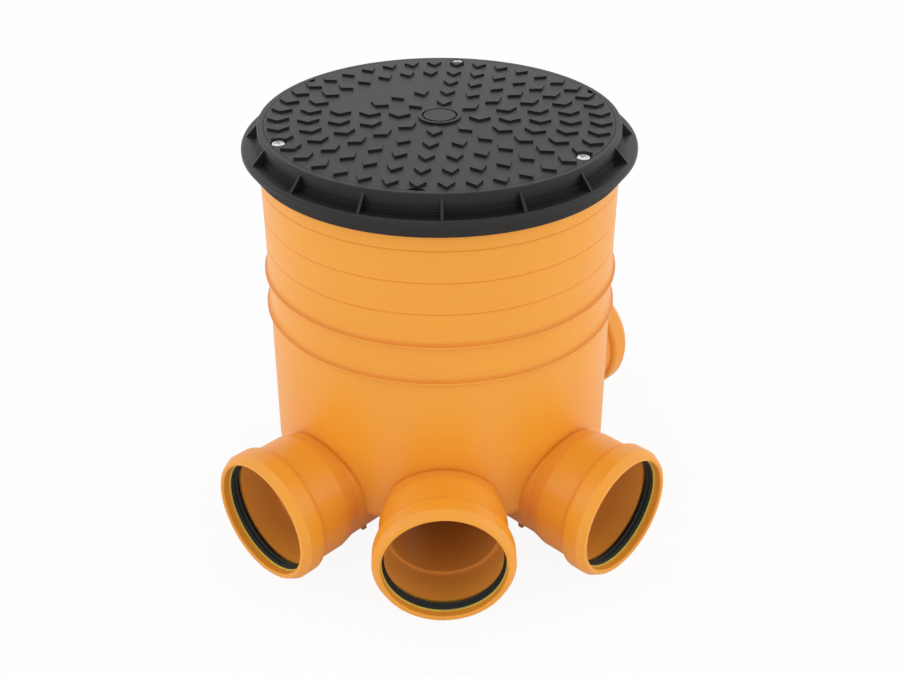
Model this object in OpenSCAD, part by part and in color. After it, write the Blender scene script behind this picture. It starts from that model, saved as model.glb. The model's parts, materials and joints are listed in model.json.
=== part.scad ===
// Drain inspection chamber with four pipe sockets and a screwed cover.
// Z is the chamber's axis and the base stands on z = 0. Azimuths run from -Y towards +X.

/* [Chamber wall] */
// Outer diameter of the wall at its top
chamber_od = 330; // [318:1:342]
// Wall thickness
chamber_wall = 7; // [5:0.5:9]
// Height of the wall's top edge above the base
chamber_h = 372; // [350:1:400]
// How much the wall's radius grows from the upper bead to the foot
wall_draft = 2.2; // [1:0.1:3]
// Radius of the rounded corner between wall and underside
corner_r = 17; // [14:0.5:20]

/* [Cut lines and beads] */
// Number of cut lines round the wall
cut_line_count = 3; // [1:1:3]
// Distance between two cut lines
cut_line_pitch = 30; // [24:1:34]
// Distance from the wall's top edge to the first cut line
cut_line_drop = 30.3; // [26:0.1:38]
// Depth of a cut line
cut_line_depth = 0.7; // [0.4:0.1:1.2]
// Height of the upper bead's lower edge above the base
bead_z = 249.8; // [244:0.1:256]
// Distance between the two beads
bead_pitch = 36.6; // [30:0.1:42]
// How far a bead stands out of the wall
bead_out = 3.3; // [2:0.1:4.5]
// Height of a bead's vertical lip
bead_lip = 1.7; // [1:0.1:3]
// Height of the hollow curve above a bead's lip
bead_flare = 6; // [4.8:0.1:8]

/* [Sockets and channels] */
// Azimuths of three inlets and the outlet
socket_azimuths = [-45, 0, 45, 135]; // [-180:1:180]
// Height of the socket axes above the base
socket_z = 65; // [65:0.5:70]
// Distance from the wall's outside to a socket's mouth
socket_len = 75; // [72:1:90]
// Outer diameter of the pipes that the sockets take
pipe_od = 110; // [108:0.1:111]
// Radial clearance round an inserted pipe
pipe_clearance = 0.2; // [0.1:0.05:0.4]
// Depth from a socket's mouth to its pipe stop
socket_depth = 55.4; // [50:0.1:60]
// Width of the pipe stop's step
pipe_stop = 3.2; // [2:0.1:4]
// Wall thickness of the neck behind a socket's collar
neck_wall = 4.4; // [3.5:0.1:5]
// Length over which a neck narrows to its channel
neck_taper = 15; // [10:0.5:20]
// Wall thickness of the channels
channel_wall = 4; // [3:0.1:5]
// Wall thickness of the collar outside the seal groove
collar_wall = 3.5; // [2.5:0.1:4.5]
// Length of the collar
collar_len = 27; // [25:0.5:30]
// Drop from the socket axes to the underside of the benching at the wall
benching_drop = 18; // [14:0.5:22]
// Thickness of the benching
benching_t = 5; // [4:0.5:7]
// Slope of the benching towards the channels, in degrees
benching_slope = 3; // [1:0.5:5]

/* [Feet] */
// Distance from the wall's outside to the foot ribs
foot_inset = 34; // [25:1:55]
// Width of a foot rib
foot_w = 42; // [30:1:50]
// Thickness of a foot rib
foot_t = 5; // [3:0.5:8]
// Diameter of the centre foot
centre_foot_d = 30; // [20:1:40]

/* [Socket seals] */
// Distance from a socket's mouth to its seal groove
groove_inset = 7.5; // [6:0.1:9]
// Depth of the seal groove outside the socket's bore
groove_depth = 5.8; // [4.5:0.1:6]
// Width of the seal between groove end and retaining ring
seal_w = 11.5; // [9:0.1:13]
// Thickness of the retaining ring
seal_ring_t = 1.5; // [1:0.1:2.5]

/* [Cover frame] */
// How far the flange reaches past the wall's outside
flange_overhang = 15; // [14.5:0.5:20]
// Thickness of the flange
flange_t = 4; // [3:0.5:5]
// Radius of the flange's upper edge
flange_edge_r = 3.2; // [1:0.1:3.5]
// Height of the brim that turns down from the flange
brim_h = 19; // [18:0.5:21]
// Height of the brim's lower part, which turns in towards the wall
brim_lip_h = 14; // [8:0.5:14]
// How far the brim's lower part turns in
brim_in = 10; // [4:0.1:10.5]
// Thickness of the brim
brim_t = 3.5; // [2.5:0.1:4]
// How far the rim stands back from the wall's outside
rim_step = 0.5; // [0:0.1:3]
// Height of the rim above the flange
rim_h = 17; // [14:0.5:20]
// Width of the rim
rim_w = 5.6; // [4:0.1:7]
// Width of the ledge round the rim's foot
ledge_w = 1.8; // [1:0.1:4]
// Height of the ledge
ledge_h = 2.8; // [1:0.1:4]
// Number of gussets between rim and flange
gusset_count = 16; // [8:1:24]
// Thickness of a gusset
gusset_t = 2.5; // [2:0.1:5]
// Drop from the rim's top to the top of a gusset
gusset_drop = 4; // [2:0.5:6]
// Width of the cover's seat between rim and opening
seat_w = 13.9; // [12:0.1:16]
// Length of the spigot inside the chamber
spigot_len = 32; // [30:1:40]
// Wall thickness of the spigot
spigot_t = 3.5; // [3:0.1:3.8]
// Radial clearance between spigot and chamber wall
spigot_clearance = 0.5; // [0.3:0.1:0.8]
// Height of the frame seal
frame_seal_h = 8; // [6:0.5:10]
// Depth of the frame seal's groove
frame_seal_t = 3; // [2:0.1:3.5]

/* [Cover] */
// Radial gap between cover and rim
cover_gap = 0.4; // [0.2:0.1:1]
// Thickness of the cover's plate
plate_t = 5; // [4:0.5:6]
// Turn of the cover's pattern against the front socket
cover_turn = -7.5; // [-15:0.5:15]
// Thickness of the gasket under the cover
gasket_t = 2; // [1.5:0.1:3]
// Thickness of the cover's skirts and ribs
skirt_t = 3.2; // [2.5:0.1:4]
// Number of radial ribs under the cover
rib_count = 12; // [6:1:24]
// Width of a lifting notch at the cover's edge
notch_w = 16; // [12:0.5:20]
// Radial depth of a lifting notch
notch_depth = 4.4; // [3:0.1:5]

/* [Tread] */
// Number of rings of tread studs
tread_rings = 5; // [3:1:5]
// Studs added from one ring to the next
tread_step = 8; // [6:1:8]
// Distance from the centre boss to the middle of the innermost ring
tread_gap = 17; // [14:0.1:18]
// Distance from the cover's edge to the middle of the outermost ring
tread_margin = 12.8; // [11.5:0.1:16]
// Length of a stud along the radius
stud_len = 20; // [14:0.5:22]
// Width of a stud
stud_w = 14.5; // [10:0.5:16]
// Height of the studs and the centre boss
stud_h = 2; // [1:0.1:3]
// Ring with a bare field
bare_ring = 3; // [2:1:5]
// Middle of the bare field, measured on the cover
bare_azimuth = -135; // [-180:1:180]
// Half of the angle that the bare field takes up
bare_half = 32; // [0:1:60]
// Diameter of the centre boss
boss_d = 39; // [34:0.5:44]
// Diameter of the disc inside the centre boss
boss_disc_d = 29; // [20:0.5:31]

/* [Cover screws] */
// Distance from the cover's edge to the screws' axes
screw_margin = 7; // [6.8:0.1:7.5]
// Thread diameter
screw_d = 6; // [5:0.5:6]
// Screw length under the head
screw_len = 28; // [24:1:30]
// Diameter of the screw head
head_d = 12; // [10:0.5:12.5]
// Height of the screw head
head_h = 4; // [3:0.1:4.5]
// Thickness of the sealing washer
washer_t = 1.2; // [0.8:0.1:1.6]
// Diameter of the threaded insert
insert_d = 8.8; // [8:0.1:9.5]
// Length of the threaded insert
insert_len = 16; // [12:1:18]

/* [Hidden] */
$fn = 96;
cover_screw_azimuths = [60, 180, 300];
notch_azimuths = [0, 120, 240];
socket_count = len(socket_azimuths);
screw_count = len(cover_screw_azimuths);

// Overlap that joins two solids of one moulding.
weld = 1;
// Clearance between a screw and its thread.
thread_gap = 0.05;

// Chamber wall.
chamber_r = chamber_od / 2;
chamber_ir = chamber_r - chamber_wall;
foot_r = chamber_r + wall_draft;
under_z = socket_z - benching_drop;
corner_z = under_z + corner_r;
inner_corner_r = corner_r - chamber_wall;
floor_z = under_z + benching_t;
inner_corner_z = floor_z + inner_corner_r;
corner_mid_r = foot_r - corner_r;
slope_fall = corner_mid_r * tan(benching_slope);

// Sockets: radii round the socket axis and distances from the chamber's axis.
socket_reach = chamber_r + socket_len;
bore_r = pipe_od / 2 + pipe_clearance;
channel_r = bore_r - pipe_stop;
channel_outer_r = channel_r + channel_wall;
neck_r = bore_r + neck_wall;
groove_r = bore_r + groove_depth;
collar_r = groove_r + collar_wall;
stop_a = socket_reach - socket_depth;
collar_a = socket_reach - collar_len;
entry_r = bore_r + 0.9;
foot_reach = chamber_r - foot_inset;
groove_end_a = socket_reach - groove_inset;
groove_start_a = groove_end_a - seal_w - seal_ring_t;
ring_a = groove_end_a - seal_ring_t;

// Cover frame.
flange_r = chamber_r + flange_overhang;
flange_top = chamber_h + flange_t;
rim_top = flange_top + rim_h;
rim_r = chamber_r - rim_step;
rim_ir = rim_r - rim_w;
opening_r = rim_ir - seat_w;
spigot_r = chamber_ir - spigot_clearance;
spigot_wall_r = spigot_r - frame_seal_t;
spigot_ir = spigot_wall_r - spigot_t;
spigot_z = chamber_h - spigot_len;
seal_bead = 2;
frame_seal_z = spigot_z + seal_bead;
lug_r = 9;
lug_len = 18;

// Cover.
cover_r = rim_ir - cover_gap;
screw_reach = cover_r - screw_margin;
tread_r = boss_d / 2 + tread_gap;
tread_pitch = (cover_r - tread_margin - tread_r) / (tread_rings - 1);
notch_r = (pow(notch_w / 2, 2) + pow(notch_depth, 2)) / (2 * notch_depth);
cover_bottom = flange_top + gasket_t;
plate_z = rim_top - plate_t;
inner_skirt_ir = opening_r;
gasket_ir = opening_r + 2;
gasket_r = cover_r - 0.5;
screw_boss_r = 8;
counterbore_r = head_d / 2 + 0.8;
head_z = rim_top - head_h;
seat_z = head_z - washer_t;

// Radius of the wall's outside at height z: straight above the upper bead, drafted below it.
function wall_r(z) = chamber_r + wall_draft * max(0, min(1, (bead_z - z) / (bead_z - corner_z)));

// Radius of an arc that starts along a wall and moves out by "out" over the length "along".
function arc_r(out, along) = (out * out + along * along) / (2 * out);

// Places children on a socket's axis: their +Z points out of the mouth.
module on_socket(i) {
    translate([0, 0, socket_z]) rotate([0, 0, socket_azimuths[i]]) rotate([90, 0, 0]) children();
}

// Places children at a radius and an azimuth: their -Y points outwards.
module at_azimuth(azimuth, reach = 0) {
    rotate([0, 0, azimuth]) translate([0, -reach, 0]) children();
}

// Places children on the axis of a cover screw.
module on_screw(i) {
    at_azimuth(cover_turn + cover_screw_azimuths[i], screw_reach) children();
}

// A rectangle given by its radii and heights, for the half sections that follow.
module band(r1, r2, z1, z2) {
    translate([r1, z1]) square([r2 - r1, z2 - z1]);
}

// Half section of a bead: a lip with a sharp lower edge, and a hollow curve above it.
module bead_section(z) {
    r = wall_r(z);
    curve_r = arc_r(bead_out, bead_flare);
    top = z + bead_lip + bead_flare;
    difference() {
        band(r - weld, r + bead_out, z, top);
        translate([r + curve_r, top]) circle(curve_r);
    }
}

// Half section of the closed outer form: wall, rounded corner and sloping underside.
module chamber_outer_section() {
    difference() {
        union() {
            polygon([
                [0, under_z - slope_fall],
                [corner_mid_r, under_z],
                [foot_r, corner_z],
                [chamber_r, bead_z],
                [chamber_r, chamber_h],
                [0, chamber_h]
            ]);
            intersection() {
                translate([corner_mid_r, corner_z]) circle(corner_r);
                band(0, foot_r, 0, chamber_h);
            }
            for (z = [bead_z, bead_z - bead_pitch]) bead_section(z);
        }
        for (i = [0 : cut_line_count - 1])
            translate([chamber_r, chamber_h - cut_line_drop - i * cut_line_pitch])
                polygon([[-cut_line_depth, 0], [weld, -1.7 * weld], [weld, 1.7 * weld]]);
    }
}

// Half section of the room inside: it keeps the wall's thickness and the benching's.
module chamber_inner_section() {
    top = chamber_h + weld;
    polygon([
        [0, floor_z - slope_fall],
        [corner_mid_r, floor_z],
        [foot_r - chamber_wall, inner_corner_z],
        [chamber_ir, bead_z],
        [chamber_ir, top],
        [0, top]
    ]);
    translate([corner_mid_r, inner_corner_z]) circle(inner_corner_r);
}

// Half section of a channel, its neck and its collar round the socket axis.
module socket_outer_section() {
    neck_start = stop_a - 2;
    collar_curve = 6;
    mouth_len = 7.5;
    round_r = arc_r(collar_r - neck_r, collar_curve);
    mouth_r = 2;
    mouth_taper = 3.4;
    tip_r = collar_r - mouth_taper - mouth_r;
    band(0, channel_outer_r, 0, neck_start);
    polygon([
        [0, neck_start - neck_taper],
        [channel_outer_r, neck_start - neck_taper],
        [neck_r, neck_start],
        [neck_r, collar_a],
        [0, collar_a]
    ]);
    intersection() {
        translate([collar_r - round_r, collar_a + collar_curve]) circle(round_r);
        band(0, collar_r, collar_a, collar_a + collar_curve);
    }
    polygon([
        [0, collar_a],
        [neck_r, collar_a],
        [collar_r, collar_a + collar_curve],
        [collar_r, socket_reach - mouth_len],
        [tip_r + mouth_r * 0.95, socket_reach - mouth_r * 0.7],
        [tip_r, socket_reach],
        [0, socket_reach]
    ]);
    translate([tip_r, socket_reach - mouth_r]) circle(mouth_r);
}

// Half section of everything open round the socket axis, from the channel to the mouth.
module socket_inner_section() {
    chamfer = 1.2;
    band(0, channel_r, 0, stop_a + weld);
    band(0, bore_r, stop_a, socket_reach);
    band(0, groove_r, groove_start_a, groove_end_a);
    band(0, entry_r, groove_end_a - weld, socket_reach + weld);
    polygon([
        [0, socket_reach - chamfer],
        [entry_r, socket_reach - chamfer],
        [entry_r + 2 * chamfer, socket_reach + chamfer],
        [0, socket_reach + chamfer]
    ]);
}

// A foot rib across the underside of a channel.
module foot_rib(i) {
    at_azimuth(socket_azimuths[i], foot_reach)
        translate([-foot_w / 2, -foot_t / 2, 0]) cube([foot_w, foot_t, socket_z - channel_r]);
}

module chamber_body() {
    color("orange") difference() {
        union() {
            rotate_extrude() chamber_outer_section();
            for (i = [0 : socket_count - 1]) {
                on_socket(i) rotate_extrude() socket_outer_section();
                foot_rib(i);
            }
            cylinder(h = socket_z - channel_r, d = centre_foot_d);
        }
        rotate_extrude() chamber_inner_section();
        for (i = [0 : socket_count - 1]) on_socket(i) rotate_extrude() socket_inner_section();
    }
}

// Seal in a socket's groove, with two lips pressed back to the pipe's surface.
module socket_seal(i) {
    lip_w = 1.4;
    root_r = bore_r + 2.2;
    color("#262826") on_socket(i) rotate_extrude()
        polygon([
            [groove_r, groove_start_a],
            [groove_r, ring_a],
            [bore_r + lip_w, ring_a],
            [bore_r, ring_a - lip_w],
            [bore_r, ring_a - 2 * lip_w],
            [root_r, ring_a - 3 * lip_w],
            [root_r, ring_a - 4 * lip_w],
            [bore_r, ring_a - 5 * lip_w],
            [bore_r, ring_a - 6 * lip_w],
            [bore_r + lip_w, groove_start_a]
        ]);
}

// Ring that snaps into the groove and holds the seal.
module seal_retaining_ring(i) {
    ring_clearance = 0.3;
    color("#a0a53c") on_socket(i) rotate_extrude()
        band(bore_r + ring_clearance, groove_r, ring_a, groove_end_a);
}

// Half section of the frame: flange with its brim, rim with its ledge, and spigot.
module frame_section() {
    edge_z = flange_top - flange_edge_r;
    edge_mid_r = flange_r - flange_edge_r;
    lip_z = flange_top - brim_h;
    turn_z = lip_z + brim_lip_h;
    lip_r = flange_r - brim_in;
    rim_edge_r = 1.2;
    polygon([
        [opening_r, chamber_h],
        [opening_r, flange_top],
        [edge_mid_r, flange_top],
        [flange_r, edge_z],
        [flange_r, turn_z],
        [lip_r, lip_z],
        [lip_r - brim_t, lip_z],
        [flange_r - brim_t, turn_z],
        [flange_r - brim_t, chamber_h]
    ]);
    intersection() {
        translate([edge_mid_r, edge_z]) circle(flange_edge_r);
        band(edge_mid_r, flange_r, edge_z, flange_top);
    }
    band(rim_ir, rim_r, flange_top - weld, rim_top - rim_edge_r);
    band(rim_ir, rim_r - rim_edge_r, flange_top - weld, rim_top);
    translate([rim_r - rim_edge_r, rim_top - rim_edge_r]) circle(rim_edge_r);
    band(rim_ir, rim_r + ledge_w, flange_top - weld, flange_top + ledge_h);
    band(spigot_ir, spigot_wall_r, spigot_z, chamber_h + weld);
    for (z = [spigot_z, frame_seal_z + frame_seal_h]) band(spigot_ir, spigot_r, z, z + seal_bead);
}

// A gusset between rim and flange.
module gusset() {
    gusset_top = rim_top - gusset_drop;
    gusset_reach = flange_r - flange_edge_r - 0.6;
    rotate([90, 0, -90]) translate([0, 0, -gusset_t / 2]) linear_extrude(gusset_t)
        polygon([
            [rim_r - weld, flange_top - weld],
            [gusset_reach, flange_top - weld],
            [gusset_reach, flange_top],
            [rim_r, gusset_top],
            [rim_r - weld, gusset_top]
        ]);
}

module cover_frame() {
    insert_r = insert_d / 2;
    color("#363634") difference() {
        union() {
            rotate_extrude() frame_section();
            for (i = [0 : gusset_count - 1]) at_azimuth(i * 360 / gusset_count) gusset();
            intersection() {
                for (i = [0 : screw_count - 1])
                    on_screw(i) translate([0, 0, chamber_h - lug_len]) cylinder(h = lug_len + weld, r = lug_r);
                cylinder(h = flange_top, r = spigot_r);
            }
        }
        for (i = [0 : screw_count - 1]) on_screw(i) {
            translate([0, 0, flange_top - insert_len]) cylinder(h = insert_len + weld, r = insert_r);
            translate([0, 0, seat_z - screw_len + washer_t - weld])
                cylinder(h = screw_len, d = screw_d + 4 * thread_gap);
        }
    }
}

// Ring between spigot and chamber wall, with three lips that touch the wall.
module frame_seal() {
    lip_count = 3;
    lip_pitch = frame_seal_h / lip_count;
    root_r = chamber_ir - frame_seal_t / 3;
    color("#1c1c1c") rotate_extrude()
        polygon(concat(
            [[spigot_wall_r, frame_seal_z + frame_seal_h], [spigot_wall_r, frame_seal_z]],
            [for (i = [0 : lip_count - 1]) each [
                [root_r, frame_seal_z + i * lip_pitch],
                [chamber_ir, frame_seal_z + (i + 0.4) * lip_pitch],
                [chamber_ir, frame_seal_z + (i + 0.6) * lip_pitch]
            ]],
            [[root_r, frame_seal_z + frame_seal_h]]
        ));
}

// Flat ring between the frame's seat and the cover's skirts.
module cover_gasket() {
    color("#1c1c1c") difference() {
        rotate_extrude() band(gasket_ir, gasket_r, flange_top, cover_bottom);
        for (i = [0 : screw_count - 1])
            on_screw(i) cylinder(h = rim_top, r = screw_d / 2 + cover_gap);
    }
}

// Outline of one tread stud: a diamond with its long axis along the radius.
module stud() {
    polygon([[0, -stud_len / 2], [stud_w / 2, 0], [0, stud_len / 2], [-stud_w / 2, 0]]);
}

// True where a stud falls into the bare field.
function is_bare(ring, azimuth) =
    ring == bare_ring && abs((azimuth - bare_azimuth + 540) % 360 - 180) < bare_half;

// The raised pattern in plan: rings of studs, each with more studs than the last.
module tread_plan() {
    for (ring = [1 : tread_rings]) {
        count = ring * tread_step;
        for (k = [0 : count - 1])
            if (!is_bare(ring, k * 360 / count))
                at_azimuth(k * 360 / count, tread_r + (ring - 1) * tread_pitch) stud();
    }
}

// Raised ring and disc in the middle of the cover.
module centre_boss_plan() {
    ring_w = 3;
    difference() {
        circle(d = boss_d);
        circle(d = boss_d - 2 * ring_w);
    }
    circle(d = boss_disc_d);
}

// Half section of the cover without its raised pattern: plate, two skirts and ring ribs.
module cover_section() {
    band(0, cover_r, plate_z, rim_top);
    band(cover_r - skirt_t, cover_r, cover_bottom, plate_z + weld);
    band(inner_skirt_ir, inner_skirt_ir + skirt_t, cover_bottom, plate_z + weld);
    for (share = [1 / 3, 2 / 3])
        band(share * opening_r, share * opening_r + skirt_t, cover_bottom, plate_z + weld);
}

// Round body on the axis of a lifting notch, which cuts a crescent into the cover's edge.
module notch_body(r, z1, z2) {
    translate([0, notch_depth - notch_r, z1]) cylinder(h = z2 - z1, r = r);
}

module cover() {
    rib_len = inner_skirt_ir - boss_disc_d / 2 + weld;
    notch_floor_t = 2;
    color("#555555") difference() {
        rotate([0, 0, cover_turn]) union() {
            rotate_extrude() cover_section();
            for (i = [0 : rib_count - 1]) at_azimuth(i * 360 / rib_count, inner_skirt_ir + weld)
                translate([-skirt_t / 2, 0, cover_bottom])
                    cube([skirt_t, rib_len, plate_z - cover_bottom + weld]);
            translate([0, 0, plate_z]) linear_extrude(plate_t + stud_h) intersection() {
                union() {
                    tread_plan();
                    centre_boss_plan();
                }
                circle(cover_r - weld);
            }
            intersection() {
                union() {
                    for (azimuth = cover_screw_azimuths) at_azimuth(azimuth, screw_reach)
                        translate([0, 0, cover_bottom])
                            cylinder(h = plate_z - cover_bottom + weld, r = screw_boss_r);
                    for (azimuth = notch_azimuths) at_azimuth(azimuth, cover_r)
                        notch_body(notch_r + skirt_t, cover_bottom, plate_z + weld);
                }
                cylinder(h = rim_top, r = cover_r);
            }
        }
        for (azimuth = notch_azimuths) at_azimuth(cover_turn + azimuth, cover_r)
            notch_body(notch_r, cover_bottom + notch_floor_t, rim_top + stud_h + weld);
        for (i = [0 : screw_count - 1]) on_screw(i) {
            translate([0, 0, seat_z]) cylinder(h = rim_top, r = counterbore_r);
            cylinder(h = rim_top, r = screw_d / 2 + cover_gap);
        }
    }
}

// Pan-head screw with a cross recess.
module cover_screw(i) {
    dome = 1;
    recess_w = 1.6;
    recess_len = 0.6 * head_d;
    recess_depth = 0.5 * head_h;
    color("#b8babc") on_screw(i) difference() {
        union() {
            translate([0, 0, head_z]) cylinder(h = head_h - dome, d = head_d);
            translate([0, 0, rim_top - dome]) cylinder(h = dome, d1 = head_d, d2 = head_d - 2 * dome);
            translate([0, 0, head_z - screw_len]) cylinder(h = screw_len + weld, d = screw_d);
        }
        for (turn = [0, 90]) rotate([0, 0, turn])
            translate([-recess_len / 2, -recess_w / 2, rim_top - recess_depth])
                cube([recess_len, recess_w, recess_depth + weld]);
    }
}

// Sealing washer under a screw head.
module screw_washer(i) {
    color("#1c1c1c") on_screw(i) translate([0, 0, seat_z]) difference() {
        cylinder(h = washer_t, r = counterbore_r - cover_gap);
        translate([0, 0, -weld]) cylinder(h = washer_t + 2 * weld, r = screw_d / 2 + thread_gap);
    }
}

// Threaded insert moulded into a lug of the frame.
module threaded_insert(i) {
    color("goldenrod") on_screw(i) translate([0, 0, flange_top - insert_len]) difference() {
        cylinder(h = insert_len, d = insert_d);
        translate([0, 0, -weld]) cylinder(h = insert_len + 2 * weld, r = screw_d / 2 + thread_gap);
    }
}

chamber_body();
cover_frame();
cover();
cover_gasket();
frame_seal();
for (i = [0 : socket_count - 1]) {
    socket_seal(i);
    seal_retaining_ring(i);
}
for (i = [0 : screw_count - 1]) {
    cover_screw(i);
    screw_washer(i);
    threaded_insert(i);
}
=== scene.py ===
# Drain inspection chamber: orange body, black cover frame and cover with a diamond tread.
import json
import math

import bmesh
import bpy
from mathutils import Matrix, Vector


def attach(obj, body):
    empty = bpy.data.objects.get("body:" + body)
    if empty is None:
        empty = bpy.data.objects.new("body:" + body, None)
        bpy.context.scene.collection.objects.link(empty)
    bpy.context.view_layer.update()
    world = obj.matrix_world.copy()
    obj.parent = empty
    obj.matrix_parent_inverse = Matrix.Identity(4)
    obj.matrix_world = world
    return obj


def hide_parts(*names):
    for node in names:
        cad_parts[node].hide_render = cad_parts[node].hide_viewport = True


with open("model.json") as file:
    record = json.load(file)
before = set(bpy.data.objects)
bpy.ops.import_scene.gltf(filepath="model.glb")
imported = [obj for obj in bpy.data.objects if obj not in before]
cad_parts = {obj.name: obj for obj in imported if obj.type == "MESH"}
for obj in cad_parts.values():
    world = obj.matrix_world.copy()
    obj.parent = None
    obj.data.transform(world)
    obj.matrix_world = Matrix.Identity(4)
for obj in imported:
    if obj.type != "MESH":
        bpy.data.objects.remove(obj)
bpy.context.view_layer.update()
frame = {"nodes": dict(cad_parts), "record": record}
nodes = frame["nodes"]
mm = 0.001      # the frame is in metres

cameraSetup = {
    "place": (-0.0095, -1.0296, 0.7952),    # metres
    "turn": (58.248, 0.0, -1.053),          # degrees
    "lens": 48.0,                           # millimetres
    "sensor": 36.0,
    "clip": (0.01, 50.0),                   # nearest and farthest distance seen, in metres
}


def makeCamera(setup):
    data = bpy.data.cameras.new("camera")
    data.lens = setup["lens"]
    data.sensor_width = setup["sensor"]
    data.clip_start, data.clip_end = setup["clip"]
    camera = bpy.data.objects.new("camera", data)
    camera.location = setup["place"]
    camera.rotation_euler = [math.radians(a) for a in setup["turn"]]
    bpy.context.scene.collection.objects.link(camera)
    bpy.context.scene.camera = camera
    return camera


makeCamera(cameraSetup)
print("camera placed")


def startMaterial(name):
    material = bpy.data.materials.new(name)
    material.use_nodes = True
    tree = material.node_tree
    tree.nodes.clear()
    out = tree.nodes.new("ShaderNodeOutputMaterial")
    shader = tree.nodes.new("ShaderNodeBsdfPrincipled")
    tree.links.new(shader.outputs["BSDF"], out.inputs["Surface"])
    return material, tree, shader


def startGroup(name, inputs, outputs):
    # inputs: (name, kind, default); outputs: (name, kind)
    tree = bpy.data.node_groups.new(name, "ShaderNodeTree")
    for label, kind, default in inputs:
        socket = tree.interface.new_socket(name=label, in_out="INPUT", socket_type=kind)
        socket.default_value = default
    for label, kind in outputs:
        tree.interface.new_socket(name=label, in_out="OUTPUT", socket_type=kind)
    start = tree.nodes.new("NodeGroupInput")
    end = tree.nodes.new("NodeGroupOutput")
    return tree, start, end


def addNode(tree, kind, values=None, **settings):
    node = tree.nodes.new(kind)
    for key, value in settings.items():
        setattr(node, key, value)
    for key, value in (values or {}).items():
        node.inputs[key].default_value = value
    return node


def useGroup(tree, group, values=None):
    node = tree.nodes.new("ShaderNodeGroup")
    node.node_tree = group
    for key, value in (values or {}).items():
        node.inputs[key].default_value = value
    return node


def linear(r, g, b):
    # a colour as seen on a screen, 0 to 255, as the shader wants it
    def one(c):
        c /= 255
        return c / 12.92 if c <= 0.04045 else ((c + 0.055) / 1.055) ** 2.4
    return (one(r), one(g), one(b), 1.0)


def makeMouldGrain():
    # fine spark-eroded grain of a moulding: a height and a roughness that vary together
    tree, start, end = startGroup(
        "mouldGrain",
        [("Scale", "NodeSocketFloat", 900.0), ("Base Roughness", "NodeSocketFloat", 0.45),
         ("Spread", "NodeSocketFloat", 0.08)],
        [("Height", "NodeSocketFloat"), ("Roughness", "NodeSocketFloat")])
    coords = addNode(tree, "ShaderNodeTexCoord")
    fine = addNode(tree, "ShaderNodeTexNoise", {"Detail": 3.0, "Roughness": 0.6})
    broad = addNode(tree, "ShaderNodeTexNoise", {"Scale": 14.0, "Detail": 3.0, "Roughness": 0.5})
    tree.links.new(coords.outputs["Object"], fine.inputs["Vector"])
    tree.links.new(coords.outputs["Object"], broad.inputs["Vector"])
    tree.links.new(start.outputs["Scale"], fine.inputs["Scale"])
    centred = addNode(tree, "ShaderNodeMath", {1: 0.5}, operation="SUBTRACT")
    tree.links.new(broad.outputs["Fac"], centred.inputs[0])
    spread = addNode(tree, "ShaderNodeMath", operation="MULTIPLY_ADD")
    tree.links.new(centred.outputs[0], spread.inputs[0])
    tree.links.new(start.outputs["Spread"], spread.inputs[1])
    tree.links.new(start.outputs["Base Roughness"], spread.inputs[2])
    tree.links.new(fine.outputs["Fac"], end.inputs["Height"])
    tree.links.new(spread.outputs[0], end.inputs["Roughness"])
    return tree


def makeMottle():
    # slow cloudy variation of a plastic's colour between two near tones
    tree, start, end = startGroup(
        "mottle",
        [("Light", "NodeSocketColor", (1, 1, 1, 1)), ("Dark", "NodeSocketColor", (0, 0, 0, 1)),
         ("Scale", "NodeSocketFloat", 9.0)],
        [("Color", "NodeSocketColor")])
    coords = addNode(tree, "ShaderNodeTexCoord")
    cloud = addNode(tree, "ShaderNodeTexNoise", {"Detail": 4.0, "Roughness": 0.55, "Distortion": 0.4})
    ramp = addNode(tree, "ShaderNodeMapRange", {"From Min": 0.32, "From Max": 0.68})
    mix = addNode(tree, "ShaderNodeMix", data_type="RGBA")
    tree.links.new(coords.outputs["Object"], cloud.inputs["Vector"])
    tree.links.new(start.outputs["Scale"], cloud.inputs["Scale"])
    tree.links.new(cloud.outputs["Fac"], ramp.inputs["Value"])
    tree.links.new(ramp.outputs["Result"], mix.inputs["Factor"])
    tree.links.new(start.outputs["Dark"], mix.inputs["A"])
    tree.links.new(start.outputs["Light"], mix.inputs["B"])
    tree.links.new(mix.outputs["Result"], end.inputs["Color"])
    return tree


def makeScuffs():
    # sparse hair scratches and rubbed spots, as a mask
    tree, start, end = startGroup(
        "scuffs",
        [("Scale", "NodeSocketFloat", 30.0), ("Amount", "NodeSocketFloat", 0.5)],
        [("Mask", "NodeSocketFloat")])
    coords = addNode(tree, "ShaderNodeTexCoord")
    stretch = addNode(tree, "ShaderNodeMapping", {"Rotation": (0.3, 0.5, 0.7), "Scale": (1.0, 9.0, 4.0)})
    streaks = addNode(tree, "ShaderNodeTexNoise", {"Detail": 5.0, "Roughness": 0.7})
    spots = addNode(tree, "ShaderNodeTexNoise", {"Scale": 11.0, "Detail": 2.0})
    both = addNode(tree, "ShaderNodeMath", operation="MULTIPLY")
    ramp = addNode(tree, "ShaderNodeMapRange", {"From Min": 0.33, "From Max": 0.48})
    amount = addNode(tree, "ShaderNodeMath", operation="MULTIPLY")
    tree.links.new(coords.outputs["Object"], stretch.inputs["Vector"])
    tree.links.new(stretch.outputs["Vector"], streaks.inputs["Vector"])
    tree.links.new(start.outputs["Scale"], streaks.inputs["Scale"])
    tree.links.new(coords.outputs["Object"], spots.inputs["Vector"])
    tree.links.new(streaks.outputs["Fac"], both.inputs[0])
    tree.links.new(spots.outputs["Fac"], both.inputs[1])
    tree.links.new(both.outputs[0], ramp.inputs["Value"])
    tree.links.new(ramp.outputs["Result"], amount.inputs[0])
    tree.links.new(start.outputs["Amount"], amount.inputs[1])
    tree.links.new(amount.outputs[0], end.inputs["Mask"])
    return tree


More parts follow.
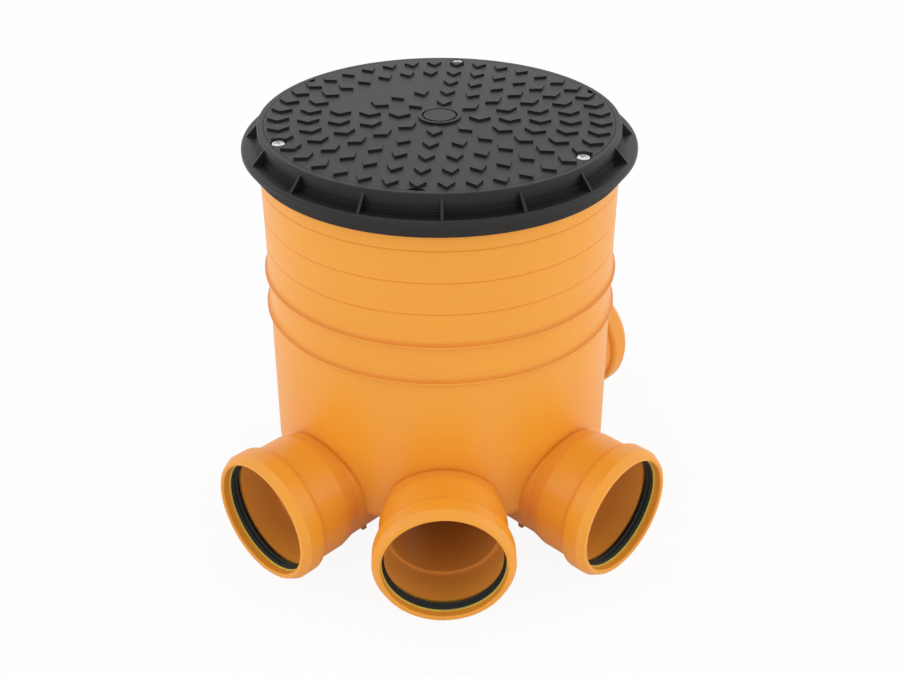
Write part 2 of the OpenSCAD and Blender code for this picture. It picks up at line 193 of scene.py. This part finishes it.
def makeSoftEdge():
    # normals that run round the small radii of a moulding's edges and corners
    tree, start, end = startGroup(
        "softEdge", [("Radius", "NodeSocketFloat", 0.001)], [("Normal", "NodeSocketVector")])
    bevel = addNode(tree, "ShaderNodeBevel", samples=6)
    tree.links.new(start.outputs["Radius"], bevel.inputs["Radius"])
    tree.links.new(bevel.outputs["Normal"], end.inputs["Normal"])
    return tree


def makeHollowShade():
    # mask for painted shade in a piece's own creases, grooves and hollows, seen up to a given reach:
    # none where the surface is more open than Open, full where it is more closed than Closed
    tree, start, end = startGroup(
        "hollows", [("Reach", "NodeSocketFloat", 0.005), ("Amount", "NodeSocketFloat", 1.0),
                    ("Open", "NodeSocketFloat", 0.95), ("Closed", "NodeSocketFloat", 0.45)],
        [("Mask", "NodeSocketFloat")])
    openness = addNode(tree, "ShaderNodeAmbientOcclusion", samples=8, only_local=True)
    deep = addNode(tree, "ShaderNodeMapRange")
    tree.links.new(start.outputs["Open"], deep.inputs["From Min"])
    tree.links.new(start.outputs["Closed"], deep.inputs["From Max"])
    amount = addNode(tree, "ShaderNodeMath", operation="MULTIPLY")
    tree.links.new(start.outputs["Reach"], openness.inputs["Distance"])
    tree.links.new(openness.outputs["AO"], deep.inputs["Value"])
    tree.links.new(deep.outputs["Result"], amount.inputs[0])
    tree.links.new(start.outputs["Amount"], amount.inputs[1])
    tree.links.new(amount.outputs[0], end.inputs["Mask"])
    return tree


def makeUndersides():
    # mask of what faces down
    tree, start, end = startGroup(
        "undersides", [("Begin", "NodeSocketFloat", -0.15), ("Full", "NodeSocketFloat", -0.45)],
        [("Mask", "NodeSocketFloat")])
    place = addNode(tree, "ShaderNodeNewGeometry")
    facing = addNode(tree, "ShaderNodeSeparateXYZ")
    down = addNode(tree, "ShaderNodeMapRange")
    tree.links.new(start.outputs["Begin"], down.inputs["From Min"])
    tree.links.new(start.outputs["Full"], down.inputs["From Max"])
    tree.links.new(place.outputs["Normal"], facing.inputs["Vector"])
    tree.links.new(facing.outputs["Z"], down.inputs["Value"])
    tree.links.new(down.outputs["Result"], end.inputs["Mask"])
    return tree


def makeLedgeShade():
    # mask for painted shade on what slopes outward on a round wall, between two heights and inside a radius
    tree, start, end = startGroup(
        "ledgeShade", [("Low", "NodeSocketFloat", 0.0), ("High", "NodeSocketFloat", 0.0),
                   ("Radius", "NodeSocketFloat", 0.0)],
        [("Mask", "NodeSocketFloat")])
    place = addNode(tree, "ShaderNodeNewGeometry")
    facing = addNode(tree, "ShaderNodeSeparateXYZ")
    spot = addNode(tree, "ShaderNodeSeparateXYZ")
    slope = addNode(tree, "ShaderNodeMapRange", {"From Min": 0.2, "From Max": 0.7})
    flat = addNode(tree, "ShaderNodeVectorMath", {1: (1, 1, 0)}, operation="MULTIPLY")
    radius = addNode(tree, "ShaderNodeVectorMath", operation="LENGTH")
    inside = addNode(tree, "ShaderNodeMath", operation="LESS_THAN")
    above = addNode(tree, "ShaderNodeMath", operation="GREATER_THAN")
    below = addNode(tree, "ShaderNodeMath", operation="LESS_THAN")
    tree.links.new(place.outputs["Normal"], facing.inputs["Vector"])
    tree.links.new(place.outputs["Position"], spot.inputs["Vector"])
    tree.links.new(place.outputs["Position"], flat.inputs[0])
    tree.links.new(flat.outputs["Vector"], radius.inputs[0])
    tree.links.new(radius.outputs["Value"], inside.inputs[0])
    tree.links.new(start.outputs["Radius"], inside.inputs[1])
    tree.links.new(spot.outputs["Z"], above.inputs[0])
    tree.links.new(start.outputs["Low"], above.inputs[1])
    tree.links.new(spot.outputs["Z"], below.inputs[0])
    tree.links.new(start.outputs["High"], below.inputs[1])
    tree.links.new(facing.outputs["Z"], slope.inputs["Value"])
    mask = slope.outputs["Result"]
    for limit in (inside, above, below):
        part = addNode(tree, "ShaderNodeMath", operation="MULTIPLY")
        tree.links.new(mask, part.inputs[0])
        tree.links.new(limit.outputs[0], part.inputs[1])
        mask = part.outputs[0]
    tree.links.new(mask, end.inputs["Mask"])
    return tree


mouldGrain = makeMouldGrain()
mottle = makeMottle()
scuffs = makeScuffs()
softEdge = makeSoftEdge()
hollows = makeHollowShade()
undersides = makeUndersides()
ledgeShade = makeLedgeShade()
print("effect groups built")


def tintWhere(tree, colour, group, tone):
    # a colour that becomes the tone where the group's mask is full
    mix = addNode(tree, "ShaderNodeMix", {"B": tone}, data_type="RGBA")
    tree.links.new(group.outputs["Mask"], mix.inputs["Factor"])
    tree.links.new(colour, mix.inputs["A"])
    return mix.outputs["Result"]


def mouldedPlastic(name, look):
    material, tree, shader = startMaterial(name)
    cloud = useGroup(tree, mottle, {"Light": look["light"], "Dark": look["dark"], "Scale": look["cloud"]})
    grain = useGroup(tree, mouldGrain, {"Scale": look["grain"], "Base Roughness": look["roughness"],
                                        "Spread": look["spread"]})
    wear = useGroup(tree, scuffs, {"Scale": look["scuffScale"], "Amount": look["scuff"]})
    # painted shade: a darker tone painted into the piece's own creases, grooves and hollows
    creaseShade = useGroup(tree, hollows, {"Reach": look["hollowReach"], "Amount": look["hollow"]})
    colour = tintWhere(tree, cloud.outputs["Color"], wear, look["scuffTone"])
    colour = tintWhere(tree, colour, creaseShade, look["hollowTone"])
    roughness = grain.outputs["Roughness"]
    # painted shade: a greyer, less saturated tone painted in deep enclosed hollows such as the sockets and
    # chamber inside
    if "insideShadeTone" in look:
        inside = useGroup(tree, hollows, look["insideShadePlace"])
        colour = tintWhere(tree, colour, inside, look["insideShadeTone"])
    # painted shade: a deeper, darker orange painted on the slopes just above the bead lips
    if "ledgeShadeTone" in look:
        ledgeShadeMask = useGroup(tree, ledgeShade, look["ledgeShadePlace"])
        colour = tintWhere(tree, colour, ledgeShadeMask, look["ledgeShadeTone"])
    # painted light: down-facing faces get a paler, cooler grey that offsets the orange reflection on them;
    # their greater roughness is real
    if "belowPaintedLightTone" in look:
        below = useGroup(tree, undersides)
        colour = tintWhere(tree, colour, below, look["belowPaintedLightTone"])
        matt = addNode(tree, "ShaderNodeMix", {"B": look["belowRoughness"]}, data_type="FLOAT")
        tree.links.new(below.outputs["Mask"], matt.inputs["Factor"])
        tree.links.new(roughness, matt.inputs["A"])
        roughness = matt.outputs["Result"]
    tree.links.new(colour, shader.inputs["Base Color"])
    tree.links.new(roughness, shader.inputs["Roughness"])
    bump = addNode(tree, "ShaderNodeBump", {"Strength": look["bump"], "Distance": look["bumpDepth"]})
    edge = useGroup(tree, softEdge, {"Radius": look["edge"]})
    tree.links.new(grain.outputs["Height"], bump.inputs["Height"])
    tree.links.new(edge.outputs["Normal"], bump.inputs["Normal"])
    tree.links.new(bump.outputs["Normal"], shader.inputs["Normal"])
    shader.inputs["Specular IOR Level"].default_value = look["specular"]
    return material


beads = {
    "out": (2.0 * mm, 4.5 * mm),    # a bead's lip stands out of the wall by a distance between these
    "flare": 7.0 * mm,              # at most this much of the wall above a lip slopes out to it
    "ringPoints": 60,               # a lip's edge has at least this many points
}


def beadPlace(node):
    # heights between which the round wall's beads lie, and the radius that holds them
    points = [v.co for v in nodes[node].data.vertices]
    top = max(p.z for p in points)
    wallRadius = max(p.xy.length for p in points if p.z > top - 0.2 * mm)
    low, high = beads["out"]
    rings = {}
    for p in points:
        if low < p.xy.length - wallRadius < high:
            height = round(p.z, 4)
            rings[height] = rings.get(height, 0) + 1
    lips = [height for height in sorted(rings) if rings[height] >= beads["ringPoints"]]
    return {"Low": lips[0], "High": lips[-1] + beads["flare"], "Radius": wallRadius + high}


chamberLook = {
    "light": linear(240, 160, 46), "dark": linear(236, 155, 42), "cloud": 5.0,  # cloud: scale of the mottle
    "grain": 700.0, "bump": 0.1, "bumpDepth": 0.0003,
    "roughness": 0.36, "spread": 0.08,          # spread: how far the roughness varies
    "scuff": 0.1, "scuffScale": 40.0, "scuffTone": linear(246, 176, 84),
    "hollow": 0.5, "hollowReach": 0.006, "hollowTone": linear(218, 126, 26),    # painted shade in creases and cut lines
    # painted shade: the inside of the sockets and chamber gets a greyer, less saturated orange
    "insideShadePlace": {"Reach": 0.4, "Open": 0.55, "Closed": 0.25}, "insideShadeTone": linear(234, 163, 78),
    "ledgeShadePlace": beadPlace("chamber_body"), "ledgeShadeTone": linear(222, 128, 0),  # painted shade on the slopes above the lips
    "specular": 0.5,
    "edge": 0.0004,                             # radius to which edges are softened
}
coverLook = {
    "light": linear(18, 18, 18), "dark": linear(15, 15, 15), "cloud": 14.0,
    "grain": 1100.0, "bump": 0.15, "bumpDepth": 0.0003,
    "roughness": 0.45, "spread": 0.1,
    "scuff": 0.12, "scuffScale": 55.0, "scuffTone": linear(36, 36, 35),
    # painted shade: a darker tone in creases and hollows
    "hollow": 0.6, "hollowReach": 0.004, "hollowTone": linear(8, 8, 8),
    "specular": 0.46,
    "edge": 0.0003,
}
frameLook = dict(coverLook, roughness=0.42, specular=0.42, edge=0.0006,
                 belowPaintedLightTone=linear(32, 36, 37), belowRoughness=0.95)     # the brim's matt lower face, with a paler, cooler grey painted on what faces down to offset the orange reflection there
ringLook = {
    "light": linear(224, 214, 96), "dark": linear(212, 202, 86), "cloud": 30.0,
    "grain": 900.0, "bump": 0.08, "bumpDepth": 0.0002,
    "roughness": 0.42, "spread": 0.06,
    "scuff": 0.05, "scuffScale": 60.0, "scuffTone": linear(232, 226, 130),
    # painted shade: a darker tone in creases and hollows
    "hollow": 0.3, "hollowReach": 0.002, "hollowTone": linear(150, 142, 50),
    "specular": 0.45,
    "edge": 0.0003,
}
rubberLook = {
    "light": linear(27, 32, 28), "dark": linear(20, 24, 21), "cloud": 40.0,
    "grain": 1500.0, "bump": 0.3, "bumpDepth": 0.0002,
    "roughness": 0.42, "spread": 0.12,
    "scuff": 0.1, "scuffScale": 80.0, "scuffTone": linear(60, 62, 60),
    # painted shade: a darker tone in creases and hollows
    "hollow": 0.6, "hollowReach": 0.003, "hollowTone": linear(12, 13, 12),
    "specular": 0.25,
    "edge": 0.0002,
}


def turnedMetal(name, look):
    material, tree, shader = startMaterial(name)
    wear = useGroup(tree, scuffs, {"Scale": look["scuffScale"], "Amount": look["scuff"]})
    grain = useGroup(tree, mouldGrain, {"Scale": look["grain"], "Base Roughness": look["roughness"],
                                        "Spread": look["spread"]})
    tone = addNode(tree, "ShaderNodeMix", {"A": look["bright"], "B": look["dull"]}, data_type="RGBA")
    tree.links.new(wear.outputs["Mask"], tone.inputs["Factor"])
    tree.links.new(tone.outputs["Result"], shader.inputs["Base Color"])
    tree.links.new(grain.outputs["Roughness"], shader.inputs["Roughness"])
    bump = addNode(tree, "ShaderNodeBump", {"Strength": look["bump"], "Distance": look["bumpDepth"]})
    tree.links.new(grain.outputs["Height"], bump.inputs["Height"])
    tree.links.new(bump.outputs["Normal"], shader.inputs["Normal"])
    shader.inputs["Metallic"].default_value = 1.0
    return material


steelLook = {
    "bright": linear(233, 233, 232), "dull": linear(176, 176, 175), "scuff": 0.6, "scuffScale": 120.0,
    "grain": 2500.0, "bump": 0.15, "bumpDepth": 0.0001,
    "roughness": 0.38, "spread": 0.15,
}
brassLook = {
    "bright": linear(214, 180, 106), "dull": linear(170, 136, 80), "scuff": 0.4, "scuffScale": 90.0,
    "grain": 2500.0, "bump": 0.1, "bumpDepth": 0.0001,
    "roughness": 0.35, "spread": 0.12,
}

finishes = {    # by the names of the record's material slots
    "chamber_plastic": mouldedPlastic("chamberPlastic", chamberLook),
    "frame_plastic": mouldedPlastic("framePlastic", frameLook),
    "cover_plastic": mouldedPlastic("coverPlastic", coverLook),
    "ring_plastic": mouldedPlastic("ringPlastic", ringLook),
    "seal_rubber": mouldedPlastic("sealRubber", rubberLook),
    "screw_steel": turnedMetal("screwSteel", steelLook),
    "insert_brass": turnedMetal("insertBrass", brassLook),
}

for part in frame["record"]["subparts"]:
    piece = nodes[part["node"]]
    piece.data.materials.clear()
    piece.data.materials.append(finishes[part["material_slot"]])
print("finishes assigned")


lipSeal = {
    # section of a free seal: (radius past the bore, distance from the groove's inner end), in millimetres
    "section": [(5.7, 0.1), (5.7, 11.4), (1.3, 11.4), (0.8, 10.9), (-0.6, 9.4), (-1.0, 8.8),
                (-0.5, 8.3), (0.9, 8.4), (1.0, 7.2), (-1.2, 5.2), (-1.7, 4.4), (-1.0, 4.0),
                (1.6, 4.3), (2.0, 2.0), (2.4, 0.1)],
    "rounding": 2,      # how often the section's corners are cut
    "steps": 128,       # sides of the ring
}


def cutCorners(points, times):
    # the closed outline with each corner cut at a quarter of its two sides
    for _ in range(times):
        ring = []
        for one, two in zip(points, points[1:] + points[:1]):
            ring.append([0.75 * p + 0.25 * q for p, q in zip(one, two)])
            ring.append([0.25 * p + 0.75 * q for p, q in zip(one, two)])
        points = ring
    return points


def turnRing(name, section, steps, axisStart, axis):
    # a closed section of (radius, distance along the axis) turned once round the axis
    across = axis.cross(Vector((0, 0, 1))).normalized()
    up = across.cross(axis)
    builder = bmesh.new()
    rings = []
    for step in range(steps):
        angle = 2 * math.pi * step / steps
        out = across * math.cos(angle) + up * math.sin(angle)
        rings.append([builder.verts.new(axisStart + axis * a + out * r) for r, a in section])
    for now, after in zip(rings, rings[1:] + rings[:1]):
        for k in range(len(section)):
            builder.faces.new((now[k], now[k - 1], after[k - 1], after[k]))
    bmesh.ops.recalc_face_normals(builder, faces=builder.faces)
    for face in builder.faces:
        face.smooth = True
    mesh = bpy.data.meshes.new(name)
    builder.to_mesh(mesh)
    builder.free()
    piece = bpy.data.objects.new(name, mesh)
    bpy.context.scene.collection.objects.link(piece)
    return piece


def makeLipSeal(number, mount):
    # the solid's lips are pressed flush with the bore: here they stand free
    node = f"socket_seal_{number}"
    axis = Vector(mount["axis"]).normalized()
    axisStart = Vector((0, 0, mount["pos_m"][2]))
    boreRadius = mount["dims"]["r_mm"]
    grooveStart = min((v.co - axisStart).dot(axis) for v in nodes[node].data.vertices)
    section = [(mm * (boreRadius + r), grooveStart + mm * a) for r, a in
               cutCorners(lipSeal["section"], lipSeal["rounding"])]
    seal = turnRing(f"lip_seal_{number}", section, lipSeal["steps"], axisStart, axis)
    seal.data.materials.append(finishes["seal_rubber"])
    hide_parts(node)
    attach(seal, "root")


boreMounts = [m for m in frame["record"]["mounts"] if m["kind"] == "bore"]
for number, mount in enumerate(boreMounts, start=1):
    makeLipSeal(number, mount)
print("lip seals made")

room = {
    "low": 1.36, "high": 0.98,      # how strongly it lights the object, at eye level and from above
    "turn": 0.7,                    # sine of the height at which the upper level begins
    "sideLift": 1.0,                # how much stronger it is at the sides than in front
}


def makeRoom(setup):
    # light for the object, and plain white for what looks at the background
    world = bpy.data.worlds.new("studio")
    bpy.context.scene.world = world
    world.use_nodes = True
    tree = world.node_tree
    tree.nodes.clear()
    out = tree.nodes.new("ShaderNodeOutputWorld")
    path = tree.nodes.new("ShaderNodeLightPath")
    seen = addNode(tree, "ShaderNodeMath", operation="MAXIMUM")
    seenAll = addNode(tree, "ShaderNodeMath", operation="MAXIMUM")
    tree.links.new(path.outputs["Is Camera Ray"], seen.inputs[0])
    tree.links.new(path.outputs["Is Glossy Ray"], seen.inputs[1])
    tree.links.new(seen.outputs[0], seenAll.inputs[0])
    tree.links.new(path.outputs["Is Transmission Ray"], seenAll.inputs[1])
    coords = tree.nodes.new("ShaderNodeTexCoord")
    split = tree.nodes.new("ShaderNodeSeparateXYZ")
    height = addNode(tree, "ShaderNodeMapRange", {"From Min": 0.0, "From Max": setup["turn"],
                                                  "To Min": setup["low"], "To Max": setup["high"]})
    aside = addNode(tree, "ShaderNodeMath", operation="ABSOLUTE")
    lift = addNode(tree, "ShaderNodeMapRange", {"To Min": 1 - setup["sideLift"] / 2,
                                                "To Max": 1 + setup["sideLift"] / 2})
    level = addNode(tree, "ShaderNodeMath", operation="MULTIPLY")
    light = addNode(tree, "ShaderNodeBackground", {"Color": (1, 1, 1, 1)})
    tree.links.new(coords.outputs["Generated"], split.inputs["Vector"])
    tree.links.new(split.outputs["Z"], height.inputs["Value"])
    tree.links.new(split.outputs["X"], aside.inputs[0])
    tree.links.new(aside.outputs[0], lift.inputs["Value"])
    tree.links.new(height.outputs["Result"], level.inputs[0])
    tree.links.new(lift.outputs["Result"], level.inputs[1])
    tree.links.new(level.outputs[0], light.inputs["Strength"])
    white = addNode(tree, "ShaderNodeBackground", {"Color": (1, 1, 1, 1), "Strength": 1.0})
    mix = tree.nodes.new("ShaderNodeMixShader")
    tree.links.new(seenAll.outputs[0], mix.inputs[0])
    tree.links.new(light.outputs[0], mix.inputs[1])
    tree.links.new(white.outputs[0], mix.inputs[2])
    tree.links.new(mix.outputs[0], out.inputs["Surface"])


makeRoom(room)

lamps = {
    "key": {"power": 2.0, "size": 1.6, "place": (-0.6, -1.2, 2.2)},
    "fill": {"power": 1.0, "size": 1.8, "place": (1.6, -1.0, 1.0)},
}
lampAim = (0.0, 0.0, 0.2)       # the middle of the object


def addLamp(name, setup):
    data = bpy.data.lights.new(name, "AREA")
    data.energy = setup["power"]
    data.shape = "DISK"
    data.size = setup["size"]
    lamp = bpy.data.objects.new(name, data)
    lamp.location = setup["place"]
    lamp.rotation_euler = (Vector(lampAim) - Vector(setup["place"])).to_track_quat("-Z", "Y").to_euler()
    bpy.context.scene.collection.objects.link(lamp)


for name, setup in lamps.items():
    addLamp(name, setup)

floorSetup = {
    "radius": 8.0, "sides": 64,
    "drop": 0.2 * mm,       # how far it lies below the feet
    "tone": 0.92,
    "white": 0.92,          # how far it fades to plain white for the camera
    "whiteGloss": 0.15,     # and in reflections
}


def makeFloor(setup):
    mesh = bpy.data.meshes.new("floor")
    builder = bmesh.new()
    bmesh.ops.create_circle(builder, cap_ends=True, segments=setup["sides"], radius=setup["radius"])
    builder.to_mesh(mesh)
    builder.free()
    floor = bpy.data.objects.new("floor", mesh)
    bpy.context.scene.collection.objects.link(floor)
    floor.location.z = -setup["drop"]
    material = bpy.data.materials.new("paleFloor")
    material.use_nodes = True
    tree = material.node_tree
    tree.nodes.clear()
    out = tree.nodes.new("ShaderNodeOutputMaterial")
    diffuse = addNode(tree, "ShaderNodeBsdfDiffuse", {"Color": (setup["tone"],) * 3 + (1,)})
    white = addNode(tree, "ShaderNodeEmission", {"Color": (1, 1, 1, 1), "Strength": 1.0})
    path = tree.nodes.new("ShaderNodeLightPath")
    direct = addNode(tree, "ShaderNodeMath", {1: setup["white"]}, operation="MULTIPLY")
    share = addNode(tree, "ShaderNodeMath", {1: setup["whiteGloss"]}, operation="MULTIPLY_ADD")
    mix = tree.nodes.new("ShaderNodeMixShader")
    tree.links.new(path.outputs["Is Camera Ray"], direct.inputs[0])
    tree.links.new(path.outputs["Is Glossy Ray"], share.inputs[0])
    tree.links.new(direct.outputs[0], share.inputs[2])
    tree.links.new(share.outputs[0], mix.inputs[0])
    tree.links.new(diffuse.outputs[0], mix.inputs[1])
    tree.links.new(white.outputs[0], mix.inputs[2])
    tree.links.new(mix.outputs[0], out.inputs["Surface"])
    mesh.materials.append(material)


makeFloor(floorSetup)
bpy.context.scene.view_settings.view_transform = "Standard"
print("studio lit")
